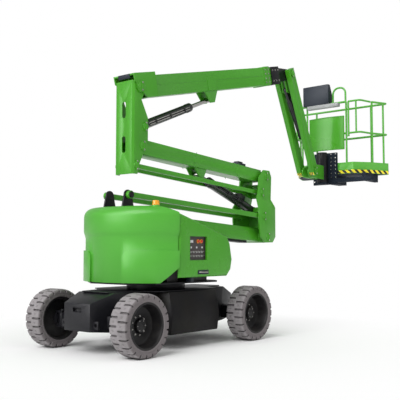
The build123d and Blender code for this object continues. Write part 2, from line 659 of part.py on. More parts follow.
def make_platform():
    rear = rotator_x + platform_gap
    under = floor_z - floor_thick
    low = floor_z - 175 - run_gap
    base = disc_z(rotator_x, 0, rotator_radius - 2, low - 30, low)
    base += block(rotator_x, rear - 5, -80, 80, low - 30, low)
    base += block(rotator_x + rotator_radius + 10, rear - 5, -240, 240, low - 30, floor_z + 365)
    base += block(rear - 60, rear + 30, -930, 0, low, low + 75)
    base += block(rear - 5, rear + 620, -80, 80, low, under)
    base += block(rear + 30, rear + 520, -760, -690, low + 10, under)
    base -= disc_z(rotator_x, 0, rotator_radius + 9, low, 9000)
    nodes["platform_support"] = base
    nodes["platform_floor"] = plan_shape(platform_plan(board_thick), under, floor_z)
    board = plan_shape(platform_plan(0), under, floor_z + toe_height) - plan_shape(
        platform_plan(board_thick), under - 5, floor_z + toe_height + 5
    )
    nodes["toe_boards"] = board

    top = floor_z + rail_top
    mid = floor_z + rail_mid
    line = platform_plan(board_thick + tube)
    rail_x = line[0][0]
    hinge_y = -400
    corner_y = -665
    side_near = line[1]
    side_far = line[2]
    back = line[3]

    def on_side(share):
        return (
            side_near[0] + share * (side_far[0] - side_near[0]), side_near[1] + share * (side_far[1] - side_near[1])
        )

    latch = on_side(0.22)
    stop = on_side(0.13)
    rails = Part()
    for height in (top, mid):
        rails += bent_tube(
            [(*latch, height), (*side_far, height), (*back, height), (back[0], -back[1], height),
             (side_far[0], -side_far[1], height), (side_near[0], -side_near[1], height), (rail_x, -corner_y, height),
             (rail_x, hinge_y, height)], tube, 28)
    post = tube - 2
    for x, y in (
        (rail_x, hinge_y), (rail_x, 400), latch, (side_far[0] - 60, side_far[1] + 24), (side_far[0] - 60, -side_far[1] - 24),
        (side_near[0] + 60, 24 - side_near[1]), (back[0], -570), (back[0], 570),
    ):
        rails += rod((x, y, floor_z), (x, y, top), post)
    rails += rod((rail_x, -corner_y - 40, mid), (rail_x, -corner_y - 40, top), post)
    rails += bent_tube(
        [(rail_x, hinge_y + 8, top - 8), (rail_x, hinge_y + 10, top + 270), (rail_x, hinge_y + 258, top + 270),
         (rail_x, hinge_y + 260, top)], post, 110)
    start = hinge_y - 2 * tube - 6
    for height in (mid - 60, top - 80):
        rails += block(rail_x - 12, rail_x + 12, start - 12, hinge_y, height, height + 16)
        rails += disc_z(rail_x, start, 8, height, height + 50)
    nodes["platform_rails"] = rails

    gate = Part()
    for height in (top, mid):
        gate += bent_tube([(rail_x, start, height), (rail_x, corner_y, height), (*stop, height)], tube - 2, 70)
    gate += rod((rail_x, corner_y + 72, mid), (rail_x, corner_y + 72, top), tube - 4)
    gate += rod((rail_x, start, mid - 60 + 16 + run_gap), (rail_x, start, top), tube - 2)
    gate -= block(rail_x - 30, rail_x + 30, start - 30, start + 40, top - 85, top - 64 + run_gap)
    for height in (mid - 60, top - 80):
        gate -= disc_z(rail_x, start, 8 + run_gap, height, height + 55)
    nodes["gate"] = gate

    face = rail_x - tube
    nodes["guard_panel"] = make_panel(face, -365, 330, mid - 280, mid + 310)
    nodes["console"] = side_shape(
        [(face - 90, top - tube + 6), (face, top - tube + 6), (face, top + tube + 4), (face + 90, top + tube + 4),
         (face + 70, top + 150), (face - 20, top + 350), (face - 90, top + 350)], -105, 425)
    nodes["console_tray"] = block(face - 90, face, -290, 340, top - 80, top - tube + 6)


def cylinder_pair(base, pin, barrel_radius, rod_radius, barrel_length, neck, room, eye, y_half, name):
    # neck is the slim length at the eye, room is how far the rod can still run in from the drawn position
    size = span(base, pin)
    barrel = Pos((neck + barrel_length) / 2, 0, 0) * Rot(0, 90, 0) * Cylinder(barrel_radius, barrel_length - neck)
    barrel += Pos(barrel_length - 40, 0, 0) * Rot(0, 90, 0) * Cylinder(barrel_radius + 5, 80)
    barrel += Rot(90, 0, 0) * Cylinder(eye + 22, 2 * y_half)
    barrel += block(0, neck + 20, -y_half, y_half, -eye - 14, eye + 14)
    start = neck + 10
    barrel -= Pos((start + barrel_length) / 2 + 50, 0, 0) * Rot(0, 90, 0) * Cylinder(
        rod_radius + run_gap, barrel_length - start + 100
    )
    barrel -= Rot(90, 0, 0) * Cylinder(eye + run_gap, 900)
    first = start + 5 + room
    last = size - rod_radius
    piston = Pos((first + last) / 2, 0, 0) * Rot(0, 90, 0) * Cylinder(rod_radius, last - first)
    piston += Pos(size, 0, 0) * Rot(90, 0, 0) * Cylinder(rod_radius * 1.25, 2 * y_half)
    piston -= Pos(size, 0, 0) * Rot(90, 0, 0) * Cylinder(rod_radius * 0.7, 900)
    nodes[name + "_barrel"] = lay(base, pin) * barrel
    nodes[name + "_rod"] = lay(base, pin) * piston


def make_cylinders():
    cylinder_pair(riser_base, riser_pin, 68, 32, 1130, 150, 5, 30, 54, "riser_cylinder")
    cylinder_pair(lift_base, lift_pin, 58, 30, 1130, 70, 172, 34, 54, "lift_cylinder")
    cylinder_pair(jib_cyl_base, jib_cyl_pin, 54, 24, 900, 200, 25, 26, 24, "jib_cylinder")


make_chassis()
make_axles()
make_wheel(half_base, "front_left", "left")
make_wheel(half_base, "front_right", "right")
make_wheel(-half_base, "rear_left", "left")
make_wheel(-half_base, "rear_right", "right")
make_turret()
make_counterweight()
make_hoods()
make_lower_arm()
make_ties()
make_knuckle()
make_upper_arm()
make_upright()
make_boom()
make_fly()
make_jib()
make_bracket()
make_platform()
make_cylinders()

for name, shape in nodes.items():
    export_step(shape, "parts/" + name + ".step")
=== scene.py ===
import bpy
import bmesh
import json
import math
import numpy as np
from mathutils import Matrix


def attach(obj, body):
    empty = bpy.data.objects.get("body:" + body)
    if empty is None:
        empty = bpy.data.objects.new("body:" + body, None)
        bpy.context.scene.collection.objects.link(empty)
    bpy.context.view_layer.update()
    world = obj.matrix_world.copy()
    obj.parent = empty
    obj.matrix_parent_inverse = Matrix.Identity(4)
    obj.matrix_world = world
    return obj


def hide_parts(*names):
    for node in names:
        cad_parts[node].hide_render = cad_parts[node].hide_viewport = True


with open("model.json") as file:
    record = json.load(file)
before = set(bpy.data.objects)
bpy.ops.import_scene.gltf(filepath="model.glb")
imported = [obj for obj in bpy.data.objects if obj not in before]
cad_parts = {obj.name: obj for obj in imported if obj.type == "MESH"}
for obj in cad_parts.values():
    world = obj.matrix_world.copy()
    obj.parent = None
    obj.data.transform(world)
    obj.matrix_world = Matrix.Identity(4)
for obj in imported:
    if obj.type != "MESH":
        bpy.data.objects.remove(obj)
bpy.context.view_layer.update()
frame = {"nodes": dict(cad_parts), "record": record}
nodes = frame["nodes"]
scene = bpy.context.scene
scene.view_settings.view_transform = "Standard"
print("frame loaded with", len(nodes), "nodes")

# camera: stands behind the machine on its right, looking slightly up
cameraSet = dict(place=(-6.724, -6.322, 1.218), yaw=50.35, pitch=3.98, lens=63.15, sensor=36.0)


def placeCamera():
    data = bpy.data.cameras.new("camera")
    data.lens = cameraSet["lens"]
    data.sensor_width = cameraSet["sensor"]
    eye = bpy.data.objects.new("camera", data)
    eye.location = cameraSet["place"]
    eye.rotation_euler = (math.radians(90 + cameraSet["pitch"]), 0, math.radians(-cameraSet["yaw"]))
    scene.collection.objects.link(eye)
    scene.camera = eye


placeCamera()


# shader node helpers
def addNode(tree, kind, **settings):
    node = tree.nodes.new("ShaderNode" + kind)
    for key, value in settings.items():
        setattr(node, key, value)
    return node


def setSocket(tree, socket, value):
    # the value is a socket to link from or a plain value
    if isinstance(value, bpy.types.NodeSocket):
        tree.links.new(value, socket)
    else:
        socket.default_value = value


def feed(tree, node, **inputs):
    for title, value in inputs.items():
        setSocket(tree, node.inputs[title.replace("_", " ")], value)
    return node


def mathNode(tree, operation, first, second=None, clamp=False):
    node = addNode(tree, "Math", operation=operation, use_clamp=clamp)
    setSocket(tree, node.inputs[0], first)
    if second is not None:
        setSocket(tree, node.inputs[1], second)
    return node.outputs[0]


def dotNode(tree, first, second):
    node = addNode(tree, "VectorMath", operation="DOT_PRODUCT")
    setSocket(tree, node.inputs[0], first)
    setSocket(tree, node.inputs[1], second)
    return node.outputs["Value"]


def partOf(tree, vector, letter):
    node = addNode(tree, "SeparateXYZ")
    tree.links.new(vector, node.inputs[0])
    return node.outputs[letter]


def mixColour(tree, share, first, second):
    # colour sockets: inputs 0, 6 and 7 are factor and both colours, output 2 the result
    node = addNode(tree, "Mix", data_type="RGBA")
    for index, value in ((0, share), (6, first), (7, second)):
        setSocket(tree, node.inputs[index], value)
    return node.outputs[2]


def noiseNode(tree, place, scale, detail, rough):
    node = addNode(tree, "TexNoise")
    feed(tree, node, Vector=place, Scale=scale, Detail=detail, Roughness=rough)
    return node.outputs["Fac"]


def stretchRange(tree, value, low, high, toLow=0.0, toHigh=1.0):
    node = addNode(tree, "MapRange", clamp=True)
    feed(tree, node, Value=value, From_Min=low, From_Max=high, To_Min=toLow, To_Max=toHigh)
    return node.outputs["Result"]


def startGroup(name, inputs, outputs):
    tree = bpy.data.node_groups.new(name, "ShaderNodeTree")
    for title, value in inputs.items():
        socket = tree.interface.new_socket(title, in_out="INPUT", socket_type="NodeSocketFloat")
        socket.default_value = value
    for title in outputs:
        tree.interface.new_socket(title, in_out="OUTPUT", socket_type="NodeSocketFloat")
    entry = tree.nodes.new("NodeGroupInput")
    leave = tree.nodes.new("NodeGroupOutput")
    place = addNode(tree, "TexCoord").outputs["Object"]
    return tree, entry.outputs, leave.inputs, place


def makeGrainGroup():
    # Peel: fine ripple of a sprayed or moulded skin; Mottle: slow drift of tone
    tree, given, result, place = startGroup(
        "surfaceGrain", {"Peel Scale": 260.0, "Mottle Scale": 2.2}, ["Peel", "Mottle"])
    fine = noiseNode(tree, place, given["Peel Scale"], detail=2.0, rough=0.45)
    tree.links.new(fine, result["Peel"])
    slow = noiseNode(tree, place, given["Mottle Scale"], detail=4.0, rough=0.6)
    tree.links.new(stretchRange(tree, slow, low=0.3, high=0.7), result["Mottle"])
    return tree


def makeWearGroup():
    # Mask: 1 along outside edges, broken up by noise. Edge = 1 - (rounded normal . flat normal)
    tree, given, result, place = startGroup("edgeWear", {"Width": 0.006, "Amount": 0.5}, ["Mask"])
    rounded = addNode(tree, "Bevel", samples=4)
    tree.links.new(given["Width"], rounded.inputs["Radius"])
    flat = addNode(tree, "NewGeometry").outputs["Normal"]
    turn = mathNode(tree, "SUBTRACT", 1.0, dotNode(tree, rounded.outputs["Normal"], flat))
    edge = stretchRange(tree, turn, low=0.02, high=0.16)
    specks = noiseNode(tree, place, scale=38.0, detail=5.0, rough=0.7)
    chips = stretchRange(tree, specks, low=0.46, high=0.62)
    worn = mathNode(tree, "MULTIPLY", edge, chips)
    tree.links.new(mathNode(tree, "MULTIPLY", worn, given["Amount"], clamp=True), result["Mask"])
    return tree


def makeDustGroup():
    # Mask: dust that thins with height above the floor and lies on faces that look up
    tree, given, result, place = startGroup("dustFilm", {"Height": 1.0, "Amount": 0.3}, ["Mask"])
    share = mathNode(tree, "DIVIDE", partOf(tree, place, "Z"), given["Height"])
    near = mathNode(tree, "SUBTRACT", 1.0, share, clamp=True)
    facing = partOf(tree, addNode(tree, "NewGeometry").outputs["Normal"], "Z")
    up = stretchRange(tree, facing, low=0.2, high=1.0, toHigh=0.6)
    puffs = noiseNode(tree, place, scale=7.0, detail=6.0, rough=0.65)
    cloud = stretchRange(tree, puffs, low=0.35, high=0.7)
    laid = mathNode(tree, "MULTIPLY", mathNode(tree, "ADD", near, up), cloud)
    tree.links.new(mathNode(tree, "MULTIPLY", laid, given["Amount"], clamp=True), result["Mask"])
    return tree


grainGroup = makeGrainGroup()
wearGroup = makeWearGroup()
dustGroup = makeDustGroup()


def groupNode(tree, group, **inputs):
    return feed(tree, addNode(tree, "Group", node_tree=group), **inputs).outputs


def rgba(colour):
    return (*colour, 1.0)


def makeFinish(name, colour, second, rough, metallic=0.0, coat=0.0, peel=260.0, bump=0.02,
               mottle=2.2, wear=0.0, bare=(0.3, 0.3, 0.3), dust=0.0, dustHeight=1.0, sheen=0.5,
               dustColour=(0.42, 0.40, 0.36), dustRough=0.4, wearWidth=0.006):
    # colour drifts between two tones, edges wear to the bare tone, dust lies low and on top
    material = bpy.data.materials.new(name)
    material.use_nodes = True
    tree = material.node_tree
    shader = tree.nodes["Principled BSDF"]
    grain = groupNode(tree, grainGroup, Peel_Scale=peel, Mottle_Scale=mottle)
    tone = mixColour(tree, grain["Mottle"], rgba(colour), rgba(second))
    roughness = stretchRange(tree, grain["Mottle"], 0.0, 1.0, rough[0], rough[1])
    if wear > 0:
        mask = groupNode(tree, wearGroup, Width=wearWidth, Amount=wear)["Mask"]
        tone = mixColour(tree, mask, tone, rgba(bare))
    if dust > 0:
        mask = groupNode(tree, dustGroup, Height=dustHeight, Amount=dust)["Mask"]
        tone = mixColour(tree, mask, tone, rgba(dustColour))
        dull = mathNode(tree, "MULTIPLY", mask, dustRough)
        roughness = mathNode(tree, "ADD", roughness, dull, clamp=True)
    ripple = addNode(tree, "Bump")
    feed(tree, ripple, Height=grain["Peel"], Strength=bump, Distance=0.002)
    feed(tree, shader, Base_Color=tone, Roughness=roughness, Normal=ripple.outputs["Normal"],
         Metallic=metallic, Coat_Weight=coat, Coat_Roughness=0.12, Specular_IOR_Level=sheen)
    return material


# finishes by the record's slots, colours in linear light
paint = {
    "green": (0.062, 0.330, 0.016), "greenDeep": (0.052, 0.295, 0.013),
    "rail": (0.100, 0.400, 0.042), "cover": (0.078, 0.385, 0.034), "coverDeep": (0.066, 0.345, 0.027),
    "dark": (0.009, 0.009, 0.012), "darkDeep": (0.005, 0.005, 0.007),
    "brown": (0.008, 0.007, 0.005), "navy": (0.013, 0.019, 0.030), "navyDeep": (0.009, 0.014, 0.023),
    "tyre": (0.300, 0.280, 0.290), "tyreDeep": (0.215, 0.200, 0.205),
    # the last two tones are painted shade: on the tyre's side walls and in its grooves
    "tyreWall": (0.165, 0.148, 0.152), "tyreGrime": (0.030, 0.027, 0.026),
}
finishes = {
    "green_paint": makeFinish(
        "greenPaint", paint["green"], paint["greenDeep"], (0.26, 0.36), coat=0.12, peel=210, bump=0.03,
        wear=0.3, bare=(0.16, 0.48, 0.09), dust=0.02, dustHeight=4.0, sheen=0.3),
    "weight_paint": makeFinish(
        "castGreenPaint", paint["cover"], paint["coverDeep"], (0.32, 0.42), coat=0.10, peel=70,
        bump=0.05, mottle=1.4, dust=0.02, dustHeight=2.0, sheen=0.35),
    "green_cover": makeFinish(
        "mouldedGreenCover", paint["green"], paint["greenDeep"], (0.24, 0.34), coat=0.15, peel=150,
        bump=0.03, dust=0.02, dustHeight=2.0, sheen=0.3),
    "green_light": makeFinish(
        "railGreenPaint", paint["rail"], paint["cover"], (0.28, 0.38), coat=0.15, peel=240, bump=0.02,
        wear=0.2, bare=(0.18, 0.50, 0.10), wearWidth=0.004, sheen=0.35),
    "dark_paint": makeFinish(
        "darkPaint", paint["dark"], paint["darkDeep"], (0.34, 0.48), coat=0.05, peel=180, bump=0.05,
        wear=0.25, bare=(0.05, 0.05, 0.055), dust=0.02, dustHeight=0.9, sheen=0.22),
    "dark_light": makeFinish(
        "darkAlloyPaint", paint["navy"], paint["navyDeep"], (0.60, 0.74), peel=180, bump=0.05, dust=0.02,
        dustHeight=4.0, sheen=0.12),
    "dark_cover": makeFinish(
        "sideCoverPaint", paint["brown"], paint["darkDeep"], (0.34, 0.48), peel=150, bump=0.05,
        wear=0.25, bare=(0.05, 0.05, 0.05), dust=0.015, dustHeight=0.9, sheen=0.14),
    "navy_plastic": makeFinish(
        "navyPlastic", paint["navy"], paint["navyDeep"], (0.38, 0.52), peel=320, bump=0.10, dust=0.02,
        dustHeight=4.0, sheen=0.3),
    "pale_alloy": makeFinish(
        "paleAlloy", (0.34, 0.35, 0.35), (0.28, 0.29, 0.29), (0.50, 0.62), metallic=0.2, peel=300,
        bump=0.05),
    "battery": makeFinish(
        "packCase", paint["dark"], paint["brown"], (0.5, 0.6), peel=200, bump=0.08, dust=0.1),
    "tyre": makeFinish(
        "greyRubber", paint["tyre"], paint["tyreDeep"], (0.72, 0.86), peel=320, bump=0.25, mottle=6.0,
        dust=0.2, dustHeight=0.7, sheen=0.2, dustColour=(0.36, 0.34, 0.33)),
    "rim": makeFinish(
        "rimPaint", paint["darkDeep"], (0.010, 0.009, 0.009), (0.36, 0.48), peel=150, bump=0.05, wear=0.3,
        bare=(0.06, 0.055, 0.05), dust=0.05, dustHeight=0.7, sheen=0.3),
    "barrel": makeFinish(
        "barrelPaint", paint["darkDeep"], paint["dark"], (0.24, 0.36), coat=0.2, peel=180, bump=0.03,
        sheen=0.4),
    # painted reflection: the rod's metal tone is kept dark to stand for the dark surroundings it reflects
    "chrome_rod": makeFinish(
        "chromedSteel", (0.34, 0.33, 0.32), (0.28, 0.27, 0.26), (0.10, 0.18), metallic=1.0, peel=500,
        bump=0.01),
    "amber_lens": makeFinish(
        "amberLens", (0.90, 0.40, 0.010), (0.84, 0.34, 0.008), (0.16, 0.24), coat=0.4, bump=0.0),
}

# finishes of the small pieces made here
trims = {
    "yellowTape": makeFinish(
        "yellowTape", (0.92, 0.80, 0.030), (0.88, 0.74, 0.026), (0.35, 0.45), peel=300, bump=0.02),
    "blackTape": makeFinish(
        "blackTape", (0.010, 0.010, 0.010), (0.014, 0.014, 0.014), (0.35, 0.45), peel=300, bump=0.02),
    "panelFace": makeFinish(
        "panelFace", (0.050, 0.040, 0.040), (0.040, 0.032, 0.032), (0.40, 0.50), peel=320, bump=0.05),
    "paleMark": makeFinish(
        "paleMark", (0.62, 0.62, 0.62), (0.56, 0.56, 0.56), (0.40, 0.50), bump=0.0),
    "redButton": makeFinish(
        "redButton", (0.62, 0.030, 0.012), (0.56, 0.024, 0.010), (0.22, 0.30), coat=0.3, bump=0.0),
    "orangeRing": makeFinish(
        "orangeRing", (0.80, 0.28, 0.030), (0.74, 0.24, 0.024), (0.25, 0.35), coat=0.2, bump=0.0),
    "zinc": makeFinish(
        "zincSteel", (0.46, 0.45, 0.43), (0.36, 0.35, 0.33), (0.28, 0.42), metallic=1.0, peel=420,
        bump=0.04),
    "blackRubber": makeFinish(
        "blackRubber", (0.012, 0.012, 0.013), (0.020, 0.020, 0.021), (0.55, 0.7), peel=380, bump=0.1),
}


def shadeRubber(material, wall, grooveShade):
    # painted shade: faces that look along the axle take a darker tone, standing in for the shade on the
    # side walls
    tree = material.node_tree
    shader = tree.nodes["Principled BSDF"]
    tone = shader.inputs["Base Color"].links[0].from_socket
    across = mathNode(tree, "ABSOLUTE", partOf(tree, addNode(tree, "TexCoord").outputs["Normal"], "Y"))
    share = stretchRange(tree, across, low=0.55, high=0.95)
    sideShaded = mixColour(tree, share, tone, rgba(wall))
    # painted shade: darker where the surface is closed in, as in the tread's grooves
    shut = addNode(tree, "AmbientOcclusion", samples=6)
    shut.inputs["Distance"].default_value = 0.03
    unshaded = stretchRange(tree, shut.outputs["AO"], low=0.25, high=0.85)
    tree.links.new(mixColour(tree, unshaded, rgba(grooveShade), sideShaded), shader.inputs["Base Color"])


shadeRubber(finishes["tyre"], paint["tyreWall"], paint["tyreGrime"])
print("finishes made:", len(finishes) + len(trims))

# edges of all pieces: angles in degrees, widths in metres
edgeSet = dict(weld=0.00002, flat=0.6, bevel=0.004, segments=2, bevelOver=34.0, smoothUnder=32.0)
bevelWidths = {
    "counterweight": 0.010, "boom_fly": 0.006, "boom_outer": 0.003, "hood_left": 0.008,
    "hood_right": 0.008, "console": 0.012, "guard_panel": 0.0, "chassis_frame": 0.006,
    "battery_covers": 0.008, "platform_rails": 0.0, "gate": 0.0, "riser_cylinder_rod": 0.002,
    "lift_cylinder_rod": 0.002, "jib_cylinder_rod": 0.002,
}


def makeSmoothGroup():
    # smooth shading by angle as a geometry node group, shared by the pieces
    tree = bpy.data.node_groups.new("smoothByAngle", "GeometryNodeTree")
    tree.interface.new_socket("Geometry", in_out="INPUT", socket_type="NodeSocketGeometry")
    tree.interface.new_socket("Geometry", in_out="OUTPUT", socket_type="NodeSocketGeometry")
    entry = tree.nodes.new("NodeGroupInput")
    leave = tree.nodes.new("NodeGroupOutput")
    faces = tree.nodes.new("GeometryNodeSetShadeSmooth")
    faces.domain = "FACE"
    edges = tree.nodes.new("GeometryNodeSetShadeSmooth")
    edges.domain = "EDGE"
    edges.inputs["Shade Smooth"].default_value = False
    angle = tree.nodes.new("GeometryNodeInputMeshEdgeAngle")
    over = tree.nodes.new("FunctionNodeCompare")
    over.data_type = "FLOAT"
    over.operation = "GREATER_THAN"
    over.inputs[1].default_value = math.radians(edgeSet["smoothUnder"])
    tree.links.new(entry.outputs[0], faces.inputs["Geometry"])
    tree.links.new(faces.outputs["Geometry"], edges.inputs["Geometry"])
    tree.links.new(angle.outputs["Unsigned Angle"], over.inputs[0])
    tree.links.new(over.outputs["Result"], edges.inputs["Selection"])
    tree.links.new(edges.outputs["Geometry"], leave.inputs[0])
    return tree


smoothGroup = makeSmoothGroup()
slotOf = {part["node"]: part["material_slot"] for part in frame["record"]["subparts"]}


def roundEdges(piece, width, segments):
    bevel = piece.modifiers.new("bevel", "BEVEL")
    bevel.width = width
    bevel.segments = segments
    bevel.limit_method = "ANGLE"
    bevel.angle_limit = math.radians(edgeSet["bevelOver"])


def shadeByAngle(piece):
    shade = piece.modifiers.new("shade", "NODES")
    shade.node_group = smoothGroup


def dressNode(name):
    # weld the loose triangles, join flat ones, round the sharp edges, shade smooth by angle
    solid = nodes[name]
    solid.data.materials.clear()
    solid.data.materials.append(finishes[slotOf[name]])
    if "custom_normal" in solid.data.attributes:
        solid.data.attributes.remove(solid.data.attributes["custom_normal"])
    weld = solid.modifiers.new("weld", "WELD")
    weld.merge_threshold = edgeSet["weld"]
    width = bevelWidths.get(name, edgeSet["bevel"])
    if width > 0:
        flat = solid.modifiers.new("flat", "DECIMATE")
        flat.decimate_type = "DISSOLVE"
        flat.angle_limit = math.radians(edgeSet["flat"])
        roundEdges(solid, width, edgeSet["segments"])
        solid.modifiers.new("split", "TRIANGULATE")
    shadeByAngle(solid)


for name in nodes:
    dressNode(name)
print("solids dressed:", len(nodes))


# mesh helpers: grids of points, profiles turned round an axis, copies of one shape
def gridFaces(rows, columns, closeRows=False, closeColumns=False):
    # quads between neighbouring points of a grid, numbered row by row
    row = np.arange(rows if closeRows else rows - 1)
    column = np.arange(columns if closeColumns else columns - 1)
    i, j = np.meshgrid(row, column, indexing="ij")
    after = (i + 1) % rows
    beside = (j + 1) % columns
    corners = [i * columns + j, after * columns + j, after * columns + beside, i * columns + beside]
    return np.stack(corners, -1).reshape(-1, 4)


def basisFor(axis):
    # three unit rows: two across the axis, then the axis itself
    up = np.asarray(axis, float) / np.linalg.norm(axis)
    side = np.array([0.0, 0.0, 1.0]) if abs(up[2]) < 0.9 else np.array([1.0, 0.0, 0.0])
    first = np.cross(side, up)
    first /= np.linalg.norm(first)
    return np.stack([first, np.cross(up, first), up])


def latheGrid(profile, sides):
    # points (r cos a, r sin a, h) for each profile point (r, h) and each angle a
    profile = np.asarray(profile, float)
    turn = np.linspace(0, 2 * np.pi, sides, endpoint=False)
    radius = profile[:, 0][:, None]
    height = profile[:, 1][:, None] + 0 * turn
    points = np.stack([radius * np.cos(turn), radius * np.sin(turn), height], -1)
    return points.reshape(-1, 3), gridFaces(len(profile), sides, closeColumns=True)


def placeCopies(points, faces, centres, axis):
    # the same shape set at each centre with its z along the axis
    centres = np.atleast_2d(np.asarray(centres, float))
    turned = points @ basisFor(axis)
    many = (turned[None] + centres[:, None]).reshape(-1, 3)
    shift = np.arange(len(centres))[:, None, None] * len(points)
    return many, (faces[None] + shift).reshape(-1, faces.shape[1])


def joinShapes(shapes):
    allPoints = []
    allFaces = []
    count = 0
    for points, faces in shapes:
        allPoints.append(np.asarray(points, float))
        allFaces += [[int(corner) + count for corner in face] for face in faces]
        count += len(points)
    return np.concatenate(allPoints), allFaces


def addPiece(name, shape, body, material, sharp=40.0, bevel=0.0, segments=2):
    points, faces = shape
    mesh = bpy.data.meshes.new(name)
    mesh.from_pydata(np.asarray(points).tolist(), [], [list(map(int, face)) for face in faces])
    work = bmesh.new()
    work.from_mesh(mesh)
    bmesh.ops.remove_doubles(work, verts=work.verts, dist=1e-6)
    bmesh.ops.recalc_face_normals(work, faces=work.faces)
    work.to_mesh(mesh)
    work.free()
    mesh.polygons.foreach_set("use_smooth", np.ones(len(mesh.polygons), bool))
    mesh.set_sharp_from_angle(angle=math.radians(sharp))
    mesh.materials.append(material)
    piece = bpy.data.objects.new(name, mesh)
    scene.collection.objects.link(piece)
    if bevel > 0:
        roundEdges(piece, bevel, segments)
        shadeByAngle(piece)
    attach(piece, body)
    return piece


# bolts: hexagon heads on round washers, profiles as shares of the radius and the height
boltSet = dict(head=[(0, 1), (0.86, 1), (1, 0.82), (1, 0.12)], headSides=6,
               washer=[(1, 0.16), (1.35, 0.16), (1.35, -0.1)], washerSides=16)


def boltHeads(centres, axis, radius, height):
    scale = (radius, height)
    head = latheGrid(np.multiply(boltSet["head"], scale), boltSet["headSides"])
    washer = latheGrid(np.multiply(boltSet["washer"], scale), boltSet["washerSides"])
    return joinShapes([placeCopies(*head, centres, axis), placeCopies(*washer, centres, axis)])


# tyres: a section carried round the hub, pressed in at the grooves
# wall is (out from the bead, in from the side), shoulder is (in from the tread, in from the side)
wheelSet = dict(
    radius=0.360, width=0.260, rim=0.250, seat=0.003, base=1.050, track=0.745, around=440, rows=74,
    wall=[(0.000, 0.024), (0.012, 0.012), (0.022, 0.009), (0.026, 0.004), (0.034, 0.003), (0.038, 0.007)],
    shoulder=[(0.045, 0.001), (0.028, 0.000), (0.012, 0.006), (0.003, 0.018), (0.000, 0.036),
              (0.000, 0.075)])
treadSet = dict(
    lugs=22, lugHalf=0.034, depth=0.018, grooveShare=0.20, grooveRamp=0.08, shoulderFrom=0.050,
    shoulderRamp=0.014, ribHalf=0.06, ribRamp=0.05, nickLong=0.10, nickWide=0.12, nickAcross=0.46,
    nickRamp=0.03, nickShare=0.4, nickBand=0.004, wallFrom=0.9, treadShare=0.3)


def rampUp(value, start, width):
    return np.clip((value - start) / width, 0, 1)


def within(value, half, width):
    # 1 around zero, 0 past the half width
    return np.clip((half - np.abs(value)) / width, 0, 1)


def tyreShape(x, side):
    # section points (r, w); groove depth = depth * bar(angle) * reach(w), taken along the section's normal
    half = wheelSet["width"] / 2
    top = wheelSet["radius"]
    bead = wheelSet["rim"] + wheelSet["seat"]
    wall = [(bead + out, half - inward) for out, inward in wheelSet["wall"]]
    shoulder = [(top - down, half - inward) for down, inward in wheelSet["shoulder"]]
    corner = np.array(wall + shoulder + [(top, 0.0)])
    section = np.concatenate([corner, (corner * (1, -1))[-2::-1]])
    run = np.concatenate([[0], np.cumsum(np.linalg.norm(np.diff(section, axis=0), axis=1))])
    share = np.linspace(0, run[-1], wheelSet["rows"])
    r = np.interp(share, run, section[:, 0])
    w = np.interp(share, run, section[:, 1])
    slopeR = np.gradient(r)
    slopeW = np.gradient(w)
    size = np.hypot(slopeR, slopeW)
    normalR = -slopeW / size
    normalW = slopeR / size
    turn = np.linspace(0, 2 * np.pi, wheelSet["around"], endpoint=False)[:, None]
    across = w / half
    outward = np.abs(across)
    # a block's middle is at a whole phase; the inner row is half a step on from the outer
    blockTurn = math.asin(treadSet["lugHalf"] / top)
    pitch = 2 * np.pi / treadSet["lugs"]
    outer = side * across > 0
    phase = (turn + np.pi / 2 - blockTurn) / pitch + np.where(outer, 0.0, 0.5)
    gap = np.abs((phase % 1.0) - 0.5) * 2
    bar = np.clip((treadSet["grooveShare"] - gap) / treadSet["grooveRamp"] + 0.5, 0, 1)
    bar = bar * bar * (3 - 2 * bar)
    reach = rampUp(r, top - treadSet["shoulderFrom"], treadSet["shoulderRamp"])
    reach = reach * rampUp(outward, treadSet["ribHalf"], treadSet["ribRamp"])
    # a short cut across each block, as moulded
    nick = within((phase + 0.5) % 1.0 - 0.5, treadSet["nickLong"], treadSet["nickRamp"])
    nick = nick * within(outward - treadSet["nickAcross"], treadSet["nickWide"], treadSet["nickRamp"])
    cut = treadSet["nickShare"] * nick * (r > top - treadSet["nickBand"])
    press = treadSet["depth"] * np.maximum(bar * reach, cut)
    spread = np.where(outward > treadSet["wallFrom"], 1, treadSet["treadShare"])
    radius = r - normalR * press * np.sign(normalR)
    width = w - normalW * press * spread * np.sign(normalW) * np.sign(across)
    points = np.stack([x + radius * np.cos(turn), side * wheelSet["track"] + width + 0 * turn,
                       wheelSet["radius"] + radius * np.sin(turn)], -1)
    # the inside of the tyre is closed by the last row of faces, bead to bead
    return points.reshape(-1, 3), gridFaces(len(turn), len(share), closeRows=True, closeColumns=True)


# hubs: bolts as (radius, height), faces measured outwards from the wheel's middle
hubSet = dict(
    disc=-0.024, circle=0.105, count=9, bolt=(0.009, 0.012),
    smallOut=0.025, smallCircle=0.060, smallCount=6, smallBolt=(0.006, 0.006),
    capOut=0.026, capSides=40,
    cap=[(0, 0.010), (0.022, 0.009), (0.034, 0.003), (0.040, 0.0), (0.046, -0.003)])


def boltCircle(x, y, radius, count):
    turn = np.linspace(0, 2 * np.pi, count, endpoint=False)
    height = wheelSet["radius"] + radius * np.sin(turn)
    return np.stack([x + radius * np.cos(turn), 0 * turn + y, height], -1)


def hubTrim(x, side):
    # two bolt circles and a cap on the outer face of the hub
    axis = (0, side, 0)
    track = wheelSet["track"]
    large = boltCircle(x, side * (track + hubSet["disc"]), hubSet["circle"], hubSet["count"])
    small = boltCircle(x, side * (track + hubSet["smallOut"]), hubSet["smallCircle"], hubSet["smallCount"])
    bolts = [boltHeads(large, axis, *hubSet["bolt"]), boltHeads(small, axis, *hubSet["smallBolt"])]
    middle = (x, side * (track + hubSet["capOut"]), wheelSet["radius"])
    cap = placeCopies(*latheGrid(hubSet["cap"], hubSet["capSides"]), [middle], axis)
    return joinShapes(bolts), cap


